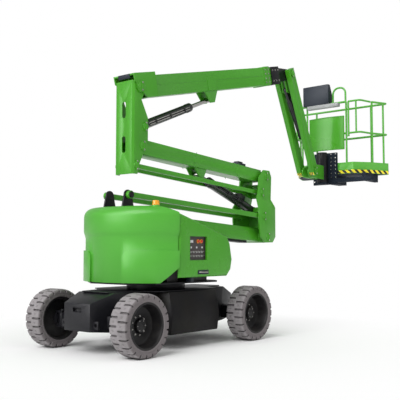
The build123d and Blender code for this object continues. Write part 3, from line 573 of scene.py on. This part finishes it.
for end, ahead in (("front", 1), ("rear", -1)):
    for hand, side in (("left", 1), ("right", -1)):
        title = end + "_" + hand
        x = ahead * wheelSet["base"]
        rubber = tyreShape(x, side)
        tyre = addPiece("treadTyre_" + title, rubber, "wheel_" + title, finishes["tyre"], sharp=60)
        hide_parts("tyre_" + title)
        bolts, cap = hubTrim(x, side)
        addPiece("hubBolts_" + title, bolts, "wheel_" + title, trims["zinc"])
        addPiece("hubCap_" + title, cap, "wheel_" + title, finishes["rim"])
print("wheels made")

# joint places and slide directions from the record
jointList = frame["record"]["behaviour"]["joints"]
joints = {joint["name"]: np.array(joint["pos_m"]) for joint in jointList if "pos_m" in joint}
slideAxis = {joint["name"]: np.array(joint["axis"]) for joint in jointList}


# small shapes: boxes, tubes along a line, frames along an arm
def boxShape(low, high):
    # eight corners numbered x fastest, then y, then z
    spans = [(low[k], high[k]) for k in range(3)]
    points = [(x, y, z) for z in spans[2] for y in spans[1] for x in spans[0]]
    faces = [(0, 1, 3, 2), (4, 6, 7, 5), (0, 4, 5, 1), (2, 3, 7, 6), (0, 2, 6, 4), (1, 5, 7, 3)]
    return np.array(points), np.array(faces)


def tubeShape(line, radius, sides=12):
    # a ring at each point, square to the run there
    line = np.asarray(line, float)
    guide = (0.12, 1.0, 0.07)
    run = np.gradient(line, axis=0)
    run /= np.linalg.norm(run, axis=1)[:, None]
    side = np.cross(run, guide)
    side /= np.linalg.norm(side, axis=1)[:, None]
    other = np.cross(run, side)
    turn = np.linspace(0, 2 * np.pi, sides, endpoint=False)
    ring = np.cos(turn)[None, :, None] * side[:, None] + np.sin(turn)[None, :, None] * other[:, None]
    return (line[:, None] + radius * ring).reshape(-1, 3), gridFaces(len(line), sides, closeColumns=True)


def roundedLine(corners, bend, steps=6):
    # straight runs joined by short curves: B = (1-t)^2 p + 2t(1-t) c + t^2 q at each corner c
    corners = np.asarray(corners, float)
    points = [corners[0]]
    share = np.linspace(0, 1, steps)[:, None]
    for before, corner, after in zip(corners[:-2], corners[1:-1], corners[2:]):
        start = corner + (before - corner) / np.linalg.norm(before - corner) * bend
        end = corner + (after - corner) / np.linalg.norm(after - corner) * bend
        points.extend((1 - share) ** 2 * start + 2 * share * (1 - share) * corner + share ** 2 * end)
    points.append(corners[-1])
    return np.array(points)


def armFrame(base, tip):
    # places points given as (along, across, up) on an arm seen from the side
    base = np.array([base[0], 0.0, base[2]])
    run = np.array([tip[0], 0.0, tip[2]]) - base
    run /= np.linalg.norm(run)
    left = np.array([0.0, 1.0, 0.0])
    up = np.array([-run[2], 0.0, run[0]])

    def place(points):
        along, across, height = np.split(np.asarray(points, float), 3, axis=-1)
        return base + along * run + across * left + height * up

    return place


def setOn(place, shape):
    return place(shape[0]), shape[1]


# pins: a cap with an upright keeper bar and two bolts at each pivot, on both sides
pinSet = dict(height=0.010, root=-0.004, flat=0.82, edge=0.6, sides=36, keeperLong=0.120, keeperWide=0.030,
              keeperThick=0.008, bolt=0.009, boltShare=0.8)
lowerRun = joints["knuckle_level"] - joints["riser"]
upperRun = joints["upright_level"] - joints["upper_arm_raise"]
lowerTieTip = joints["lower_tie_swing"] + lowerRun
upperTieTip = joints["upper_tie_swing"] + upperRun
# each as (pivot, distance of the outer face from the middle, cap radius)
pinPlaces = {
    "knuckle": [(joints["knuckle_level"], 0.252, 0.060), (lowerTieTip, 0.252, 0.046),
                (joints["upper_arm_raise"], 0.188, 0.060), (joints["upper_tie_swing"], 0.188, 0.044)],
    "upright": [(joints["upright_level"], 0.165, 0.060), (upperTieTip, 0.165, 0.044),
                (joints["lift_barrel_swing"], 0.165, 0.050)],
    "boom": [(joints["boom_lift"], 0.185, 0.062)],
    "jib_head": [(joints["jib_lower"], 0.175, 0.050)],
    "platform_bracket": [(joints["platform_level"], 0.175, 0.050)],
}


def pinTrim(places):
    caps = []
    bolts = []
    height = pinSet["height"]
    thick = pinSet["keeperThick"]
    long = pinSet["keeperLong"] / 2
    wide = pinSet["keeperWide"] / 2
    for pivot, face, radius in places:
        x, z = pivot[[0, 2]]
        cap = latheGrid([(0, height), (pinSet["flat"] * radius, height), (radius, pinSet["edge"] * height),
                         (radius, pinSet["root"])], pinSet["sides"])
        for side in (-1, 1):
            y = side * face
            top = y + side * (height + thick)
            low = min(y, top)
            caps.append(placeCopies(*cap, [(x, y, z)], (0, side, 0)))
            caps.append(boxShape((x - wide, low, z - long), (x + wide, low + height + thick, z + long)))
            centres = [(x, top, z + step * pinSet["boltShare"] * long) for step in (-1, 1)]
            bolts.append(boltHeads(centres, (0, side, 0), pinSet["bolt"], pinSet["bolt"]))
    return joinShapes(caps), joinShapes(bolts)


for body, places in pinPlaces.items():
    caps, bolts = pinTrim(places)
    addPiece("pinCaps_" + body, caps, body, finishes["green_paint"], bevel=0.002)
    addPiece("pinBolts_" + body, bolts, body, trims["zinc"])
print("pins made")

# warning tape: yellow with leaning black bars, both proud of the surface
tapeSet = dict(yellowProud=0.0010, blackProud=0.0018, step=0.01, rows=7, columns=9, firstShare=0.1)
boardTape = dict(height=0.058, pitch=0.120, lean=1.0, low=2.560, rear=4.495,
                 corners=[(0.000, -0.540), (0.250, -0.735), (0.650, -0.905), (0.705, -0.880)])
jibTape = dict(height=0.060, pitch=0.030, lean=0.3, radius=0.0785, inner=0.086, outer=0.164, fromAngle=205)


def stripedBand(name, body, place, length, tape):
    # place(along, up, proud) gives points on the surface that the tape lies on
    height = tape["height"]
    pitch = tape["pitch"]
    lean = tape["lean"]
    rows = tapeSet["rows"]
    columns = tapeSet["columns"]
    edges = np.linspace(0.0, height, rows)
    along = np.linspace(0, length, int(length / tapeSet["step"]) + 2)
    band = place(along[:, None] + 0 * edges, edges + 0 * along[:, None], tapeSet["yellowProud"])
    yellow = (band.reshape(-1, 3), gridFaces(len(along), rows))
    addPiece(name + "Yellow", yellow, body, trims["yellowTape"])
    first = tapeSet["firstShare"] * pitch
    starts = np.arange(first, length - pitch / 2 - lean * height, pitch)[:, None, None]
    reach = np.linspace(0, pitch / 2, columns)[None, :, None]
    bars = place(starts + reach + lean * (height - edges), edges + 0 * (starts + reach),
                 tapeSet["blackProud"])
    quads = gridFaces(columns, rows)[None] + rows * columns * np.arange(len(starts))[:, None, None]
    black = (bars.reshape(-1, 3), quads.reshape(-1, 4))
    addPiece(name + "Black", black, body, trims["blackTape"])


def boardPath():
    # plan outline of the toe boards, once round from the left rear corner
    right = np.array(boardTape["corners"]) + (boardTape["rear"], 0)
    left = right * (1, -1)
    return np.concatenate([left[:1], right, left[::-1]])


def onBoards(along, up, proud):
    path = boardPath()
    run = np.diff(path, axis=0)
    size = np.linalg.norm(run, axis=1)
    far = np.concatenate([[0], np.cumsum(size)])
    leg = np.clip(np.searchsorted(far, along, side="right") - 1, 0, len(size) - 1)
    share = ((along - far[leg]) / size[leg])[..., None]
    outward = np.stack([run[leg][..., 1], -run[leg][..., 0]], -1) / size[leg][..., None]
    spot = path[leg] + share * run[leg] + proud * outward
    return np.concatenate([spot, (boardTape["low"] + up)[..., None]], -1)


def onBoss(side):
    # the round boss at the foot of the left or right jib beam
    foot = joints["platform_level"]

    def place(along, up, proud):
        angle = math.radians(jibTape["fromAngle"]) + up / jibTape["radius"]
        far = jibTape["radius"] + proud
        across = side * (jibTape["inner"] + along)
        return np.stack([foot[0] + far * np.cos(angle), across, foot[2] + far * np.sin(angle)], -1)

    return place


boardLength = np.linalg.norm(np.diff(boardPath(), axis=0), axis=1).sum()
stripedBand("boardTape", "platform", onBoards, boardLength, boardTape)
bossWidth = jibTape["outer"] - jibTape["inner"]
for title, side in (("Left", 1), ("Right", -1)):
    stripedBand("jibTape" + title, "jib", onBoss(side), bossWidth, jibTape)
print("tape made")

# ground controls: face plate, meter, two round buttons, rows of switches; all left plain
controlSet = dict(
    face=-0.758, low=(-0.262, 1.062), high=(0.092, 1.388), thick=0.004,
    meterX=(-0.205, -0.150), meterZ=(1.292, 1.325), meterOut=0.010,
    switchX=(-0.190, 0.020), switchCount=5, sparseRow=1.235, fullRows=(1.180, 1.130),
    switchHalf=0.011, switchOut=0.012, leverSides=14, leverAxis=(0, -1, 0.35),
    lever=[(0, 0.030), (0.005, 0.029), (0.004, 0.012), (0.008, 0.010), (0.009, 0.0)],
    buttonX=(-0.058, 0.004), buttonZ=1.312, buttonSides=28,
    ring=[(0.016, 0.010), (0.024, 0.010), (0.027, 0.0)],
    knob=[(0, 0.022), (0.012, 0.021), (0.017, 0.014), (0.017, 0.0)])


def controlTrim():
    y = controlSet["face"]
    low = controlSet["low"]
    high = controlSet["high"]
    front = y - controlSet["thick"]
    plate = boxShape((low[0], front, low[1]), (high[0], y, high[1]))
    meterX = controlSet["meterX"]
    meterZ = controlSet["meterZ"]
    meter = boxShape((meterX[0], y - controlSet["meterOut"], meterZ[0]), (meterX[1], front, meterZ[1]))
    switchX = np.linspace(*controlSet["switchX"], controlSet["switchCount"])
    switchTop = y - controlSet["switchOut"]
    levered = [(x, z) for z in controlSet["fullRows"] for x in switchX]
    plain = [(x, controlSet["sparseRow"]) for x in switchX[::2]]
    half = controlSet["switchHalf"]
    switches = [boxShape((x - half, switchTop, z - half), (x + half, front, z + half))
                for x, z in plain + levered]
    lever = latheGrid(controlSet["lever"], controlSet["leverSides"])
    levers = placeCopies(*lever, [(x, switchTop, z) for x, z in levered], controlSet["leverAxis"])
    buttons = [(x, front, controlSet["buttonZ"]) for x in controlSet["buttonX"]]
    ring = latheGrid(controlSet["ring"], controlSet["buttonSides"])
    knob = latheGrid(controlSet["knob"], controlSet["buttonSides"])
    rings = placeCopies(*ring, buttons, (0, -1, 0))
    knobs = placeCopies(*knob, buttons, (0, -1, 0))
    return plate, joinShapes([meter] + switches), levers, rings, knobs


plate, marks, levers, rings, knobs = controlTrim()
addPiece("controlPlate", plate, "turret", trims["panelFace"], bevel=0.001)
addPiece("controlMarks", marks, "turret", trims["paleMark"], bevel=0.002)
addPiece("controlLevers", levers, "turret", trims["zinc"])
addPiece("controlRings", rings, "turret", trims["orangeRing"])
addPiece("controlKnobs", knobs, "turret", trims["redButton"])

# hood latch: a dark cup with a bow handle, low on the right hood
latchSet = dict(y=-0.800, x=(-0.105, 0.105), z=(0.906, 0.958), proud=0.006, sunk=0.004, footIn=0.03,
                cornerIn=0.04, footOut=0.004, reach=0.030, bend=0.016, radius=0.008)


def latchTrim():
    y = latchSet["y"]
    left, right = latchSet["x"]
    low, high = latchSet["z"]
    cup = boxShape((left, y - latchSet["proud"], low), (right, y + latchSet["sunk"], high))
    middle = (low + high) / 2
    foot = y - latchSet["footOut"]
    out = y - latchSet["reach"]
    footIn = latchSet["footIn"]
    cornerIn = latchSet["cornerIn"]
    bow = roundedLine([(left + footIn, foot, middle), (left + cornerIn, out, middle),
                       (right - cornerIn, out, middle), (right - footIn, foot, middle)], latchSet["bend"])
    return cup, tubeShape(bow, latchSet["radius"])


cup, bow = latchTrim()
addPiece("latchCup", cup, "hood_right", finishes["navy_plastic"], bevel=0.005, segments=3)
addPiece("latchBow", bow, "hood_right", trims["zinc"])
print("controls made")

# hydraulic hard lines: a pair clamped to the right side of each barrel
lineSet = {
    "lift_barrel": dict(slide="lift_rod_out", radius=0.058, run=(0.20, 1.06), bright=True),
    "riser_barrel": dict(slide="riser_rod_out", radius=0.068, run=(0.34, 1.06), bright=False),
    "jib_barrel": dict(slide="jib_rod_out", radius=0.054, run=(0.30, 0.84), bright=False),
}
pipeSet = dict(sunk=0.006, out=0.011, apart=0.014, bend=0.014, radius=0.006)
clampSet = dict(count=3, fromEnd=0.12, half=0.014, high=0.026, out=0.010, gap=0.004)
# a valve block with its cap on the riser barrel, whose own up is down in the world
valveSet = dict(block=((0.27, -0.045, -0.112), (0.43, 0.045, -0.055)),
                cap=((0.31, -0.030, -0.138), (0.37, 0.030, -0.108)))


def onBarrel(body):
    base = joints[body + "_swing"]
    return armFrame(base, base + slideAxis[lineSet[body]["slide"]])


def lineTrim(body):
    line = lineSet[body]
    place = onBarrel(body)
    start, end = line["run"]
    near = -(line["radius"] - pipeSet["sunk"])
    out = -(line["radius"] + pipeSet["out"])
    pipes = []
    for up in (-pipeSet["apart"], pipeSet["apart"]):
        corners = [(start, near, up), (start, out, up), (end, out, up), (end, near, up)]
        pipes.append(tubeShape(roundedLine(place(corners), pipeSet["bend"]), pipeSet["radius"]))
    clamps = []
    half = clampSet["half"]
    high = clampSet["high"]
    for along in np.linspace(start + clampSet["fromEnd"], end - clampSet["fromEnd"], clampSet["count"]):
        block = boxShape((along - half, out - clampSet["out"], -high),
                         (along + half, near + clampSet["gap"], high))
        clamps.append(setOn(place, block))
    return joinShapes(pipes), joinShapes(clamps)


for body, line in lineSet.items():
    pipes, clamps = lineTrim(body)
    if line["bright"]:
        addPiece("hardLines_" + body, pipes, body, trims["zinc"])
    else:
        addPiece("hardLines_" + body, pipes, body, finishes["barrel"])
    addPiece("lineClamps_" + body, clamps, body, trims["blackRubber"], bevel=0.002)
valve = setOn(onBarrel("riser_barrel"), joinShapes([boxShape(*spans) for spans in valveSet.values()]))
addPiece("barrelValve", valve, "riser_barrel", finishes["barrel"], bevel=0.004)
print("hard lines made")

# bolts on the boom collar, boom nose and platform carrier; bolt as (radius, height)
boltRows = {
    "collar": dict(body="boom", along=2.985, steps=(-0.045, 0.045), face=0.125,
                   ups=(-0.10, -0.035, 0.035, 0.10), bolt=(0.010, 0.009)),
    "nose": dict(body="fly", along=3.150, steps=(0.02, 0.10, 0.18), face=0.115, ups=(-0.085, 0.085),
                 bolt=(0.011, 0.010)),
}
carrierSet = dict(x=4.450, across=(-0.215, -0.125, 0.125, 0.215), low=2.430, high=2.930, step=0.070,
                  bolt=(0.009, 0.008))
boomPlace = armFrame(joints["boom_lift"], joints["boom_lift"] + slideAxis["telescope"])
for title, side in (("Right", -1), ("Left", 1)):
    for name, row in boltRows.items():
        face = side * row["face"]
        spots = [(row["along"] + step, face, up) for step in row["steps"] for up in row["ups"]]
        bolts = boltHeads(boomPlace(spots), (0, side, 0), *row["bolt"])
        addPiece(name + "Bolts" + title, bolts, row["body"], trims["zinc"])
carrierZ = np.arange(carrierSet["low"], carrierSet["high"], carrierSet["step"])
spots = [(carrierSet["x"], y, z) for y in carrierSet["across"] for z in carrierZ]
bolts = boltHeads(spots, (-1, 0, 0), *carrierSet["bolt"])
addPiece("carrierBolts", bolts, "platform", trims["zinc"])
print("bolts made")

# weld seams: rippled beads along the joints of the booms
seamSet = dict(radius=0.0035, step=0.007, least=8, sides=8, ripple=0.16, wave=1.9, sharp=80)


def weldBead(corners):
    # a bead r(k) = r0 (1 + ripple sin(wave k)) along straight runs, sampled every few millimetres
    corners = np.asarray(corners, float)
    size = np.linalg.norm(np.diff(corners, axis=0), axis=1)
    far = np.concatenate([[0], np.cumsum(size)])
    along = np.linspace(0, far[-1], max(int(far[-1] / seamSet["step"]), seamSet["least"]))
    line = np.stack([np.interp(along, far, corners[:, k]) for k in range(3)], -1)
    points, faces = tubeShape(line, seamSet["radius"], seamSet["sides"])
    swell = 1 + seamSet["ripple"] * np.sin(np.arange(len(line)) * seamSet["wave"])[:, None, None]
    rings = points.reshape(len(line), seamSet["sides"], 3)
    return (line[:, None] + (rings - line[:, None]) * swell).reshape(-1, 3), faces


def plateShape(outline, inner, outer):
    # a flat plate with the given side outline, from one face to the other
    outline = np.asarray(outline, float)
    count = len(outline)
    sides = [np.stack([outline[:, 0], 0 * outline[:, 0] + y, outline[:, 1]], -1) for y in (inner, outer)]
    ring = np.arange(count)
    after = (ring + 1) % count
    walls = np.stack([ring, after, after + count, ring + count], -1).tolist()
    return np.concatenate(sides), walls + [list(ring[::-1]), list(ring + count)]


def arcLine(centre, radius, start, end, y, steps=24):
    turn = np.radians(np.linspace(start, end, steps))
    x = centre[0] + radius * np.cos(turn)
    z = centre[1] + radius * np.sin(turn)
    return np.stack([x, 0 * turn + y, z], -1)


# boom: beads round the ends, along the sides and at the lift lug, with a doubler plate above the lug
boomSet = dict(
    face=0.115, bead=0.117, ends=(2.908, 0.294), half=0.138, lineUp=0.010, lineFrom=0.32, lineTo=2.88,
    lug=1.538, lugClear=0.11, footHalf=0.14, footAcross=0.086, footUp=-0.142, plateIn=0.114,
    plateThick=0.006, topFrom=-0.09, topTo=0.07, topUp=0.076,
    outline=[(-0.09, 0.075), (0.07, 0.075), (0.10, -0.120), (0.12, -0.132), (-0.12, -0.132),
             (-0.10, -0.120)])


def boomTrim(side):
    lug = boomSet["lug"]
    face = side * boomSet["face"]
    near = side * boomSet["bead"]
    foot = side * boomSet["footAcross"]
    half = boomSet["half"]
    up = boomSet["lineUp"]
    lines = [[(end, near, -half), (end, near, half)] for end in boomSet["ends"]]
    lines.append([(boomSet["lineFrom"], face, up), (lug - boomSet["lugClear"], face, up)])
    lines.append([(lug + boomSet["lugClear"], face, up), (boomSet["lineTo"], face, up)])
    lines.append([(lug - boomSet["footHalf"], foot, boomSet["footUp"]),
                  (lug + boomSet["footHalf"], foot, boomSet["footUp"])])
    lines.append([(lug + boomSet["topFrom"], near, boomSet["topUp"]),
                  (lug + boomSet["topTo"], near, boomSet["topUp"])])
    outline = np.array(boomSet["outline"]) + (lug, 0)
    outer = side * (boomSet["face"] + boomSet["plateThick"])
    plate = plateShape(outline, side * boomSet["plateIn"], outer)
    return [weldBead(boomPlace(line)) for line in lines], setOn(boomPlace, plate)


# arms: arcs where the upper arm's plates lap, a bead round the lower arm's tip plate
armSet = dict(face=0.120, arcs=(0.62, 1.60), arcBack=0.10, arcRadius=0.16, arcHalf=42,
              tipFrom=2.52, tipTo=2.66, tipUp=0.028, tipRadius=0.072, tipLines=(0.100, -0.044))
upperPlace = armFrame(joints["upper_arm_raise"], joints["upright_level"])
lowerPlace = armFrame(joints["riser"], joints["knuckle_level"])


def armTrim(side):
    face = side * armSet["face"]
    half = armSet["arcHalf"]
    arcs = [arcLine((along - armSet["arcBack"], 0.0), armSet["arcRadius"], -half, half, face)
            for along in armSet["arcs"]]
    lines = [arcLine((armSet["tipFrom"], armSet["tipUp"]), armSet["tipRadius"], 90, 270, face)]
    lines += [[(armSet["tipFrom"], face, up), (armSet["tipTo"], face, up)] for up in armSet["tipLines"]]
    return [weldBead(upperPlace(arc)) for arc in arcs], [weldBead(lowerPlace(line)) for line in lines]


green = finishes["green_paint"]
sharp = seamSet["sharp"]
boomBeads = []
boomPlates = []
upperBeads = []
lowerBeads = []
for side in (-1, 1):
    beads, plate = boomTrim(side)
    arcs, tips = armTrim(side)
    boomBeads += beads
    boomPlates.append(plate)
    upperBeads += arcs
    lowerBeads += tips
addPiece("boomSeams", joinShapes(boomBeads), "boom", green, sharp=sharp)
addPiece("boomPlates", joinShapes(boomPlates), "boom", green, bevel=0.002)
addPiece("upperArmSeams", joinShapes(upperBeads), "upper_arm", green, sharp=sharp)
addPiece("lowerArmSeams", joinShapes(lowerBeads), "lower_arm", green, sharp=sharp)

# a dark box under the lower arm as painted shadow of the arm's underside, a switch box on the upper arm,
# whose own up is down in the world
boxSet = dict(valve=((2.05, -0.070, -0.108), (2.52, 0.070, -0.070)),
              switch=((0.39, -0.065, -0.144), (0.59, 0.065, -0.093)),
              switchTop=((0.44, -0.045, -0.168), (0.55, 0.045, -0.142)))
armUnderShade = setOn(lowerPlace, boxShape(*boxSet["valve"]))
addPiece("armValveBox", armUnderShade, "lower_arm", finishes["dark_paint"], bevel=0.006)
switchBox = setOn(upperPlace, joinShapes([boxShape(*boxSet[key]) for key in ("switch", "switchTop")]))
addPiece("armSwitchBox", switchBox, "upper_arm", finishes["navy_plastic"], bevel=0.005)
print("seams and small boxes made")

# studio: pale floor, soft light from behind the machine and above, white surround
studio = dict(
    worldLight=0.50, glossLight=0.50,
    boxLight=7.0, boxFrom=(-0.93, 0.30, 0.22), boxOuter=0.87, boxInner=0.99,
    keyStrength=2.3, keyAngle=40.0, keyFrom=(-0.74, -0.10, 0.66),
    fillStrength=0.35, fillAngle=60.0, fillFrom=(0.15, -0.85, 0.5),
    floorSize=60.0, floorSteps=9, floorTone=(0.97, 0.97, 0.97), floorRough=0.9, floorShine=0.1,
    clearFrom=2.2, clearTo=4.6)


def addSun(name, strength, angle, towards):
    data = bpy.data.lights.new(name, "SUN")
    data.energy = strength
    data.angle = math.radians(angle)
    lamp = bpy.data.objects.new(name, data)
    direction = np.asarray(towards, float)
    direction /= np.linalg.norm(direction)
    yaw = math.atan2(direction[0], -direction[1])
    lamp.rotation_euler = (math.acos(direction[2]), 0, yaw)
    scene.collection.objects.link(lamp)


def makeSurround():
    # white to the eye, dimmer in reflections and as fill light
    world = bpy.data.worlds.new("surround")
    world.use_nodes = True
    tree = world.node_tree
    glow = tree.nodes["Background"]
    glow.inputs["Color"].default_value = (1, 1, 1, 1)
    path = addNode(tree, "LightPath").outputs
    # a soft box behind the machine on its left shows in curved and glossy faces only
    away = addNode(tree, "TexCoord").outputs["Generated"]
    facing = dotNode(tree, away, studio["boxFrom"])
    box = stretchRange(tree, facing, studio["boxOuter"], studio["boxInner"], studio["glossLight"],
                       studio["boxLight"])
    shine = mathNode(tree, "MULTIPLY", box, path["Is Glossy Ray"])
    mirrored = mathNode(tree, "MAXIMUM", shine, studio["worldLight"])
    clear = mathNode(tree, "MAXIMUM", path["Is Camera Ray"], path["Is Transmission Ray"])
    light = mathNode(tree, "MAXIMUM", mirrored, clear)
    tree.links.new(light, glow.inputs["Strength"])
    scene.world = world


def seenDirectly(tree):
    # 1 for rays from the camera and for mirror and clear rays
    path = addNode(tree, "LightPath").outputs
    seen = mathNode(tree, "MAXIMUM", path["Is Camera Ray"], path["Is Glossy Ray"])
    return mathNode(tree, "MAXIMUM", seen, path["Is Transmission Ray"])


def floorFinish():
    material = bpy.data.materials.new("paleFloor")
    material.use_nodes = True
    tree = material.node_tree
    shader = tree.nodes["Principled BSDF"]
    feed(tree, shader, Base_Color=rgba(studio["floorTone"]), Roughness=studio["floorRough"],
         Specular_IOR_Level=studio["floorShine"])
    # away from the machine the floor fades into the white surround
    reach = addNode(tree, "VectorMath", operation="LENGTH")
    tree.links.new(addNode(tree, "TexCoord").outputs["Object"], reach.inputs[0])
    fade = stretchRange(tree, reach.outputs["Value"], studio["clearFrom"], studio["clearTo"])
    share = mathNode(tree, "MULTIPLY", fade, seenDirectly(tree))
    white = addNode(tree, "Emission")
    mix = addNode(tree, "MixShader")
    tree.links.new(share, mix.inputs[0])
    tree.links.new(shader.outputs[0], mix.inputs[1])
    tree.links.new(white.outputs[0], mix.inputs[2])
    tree.links.new(mix.outputs[0], tree.nodes["Material Output"].inputs["Surface"])
    return material


def makeStudio():
    addSun("keyLight", studio["keyStrength"], studio["keyAngle"], studio["keyFrom"])
    addSun("fillLight", studio["fillStrength"], studio["fillAngle"], studio["fillFrom"])
    makeSurround()
    count = studio["floorSteps"]
    steps = np.linspace(-studio["floorSize"], studio["floorSize"], count)
    gridX, gridY = np.meshgrid(steps, steps, indexing="ij")
    points = np.stack([gridX, gridY, 0 * gridX], -1).reshape(-1, 3)
    mesh = bpy.data.meshes.new("floor")
    mesh.from_pydata(points.tolist(), [], gridFaces(count, count).tolist())
    floor = bpy.data.objects.new("floor", mesh)
    scene.collection.objects.link(floor)
    mesh.materials.append(floorFinish())


makeStudio()
print("studio made")
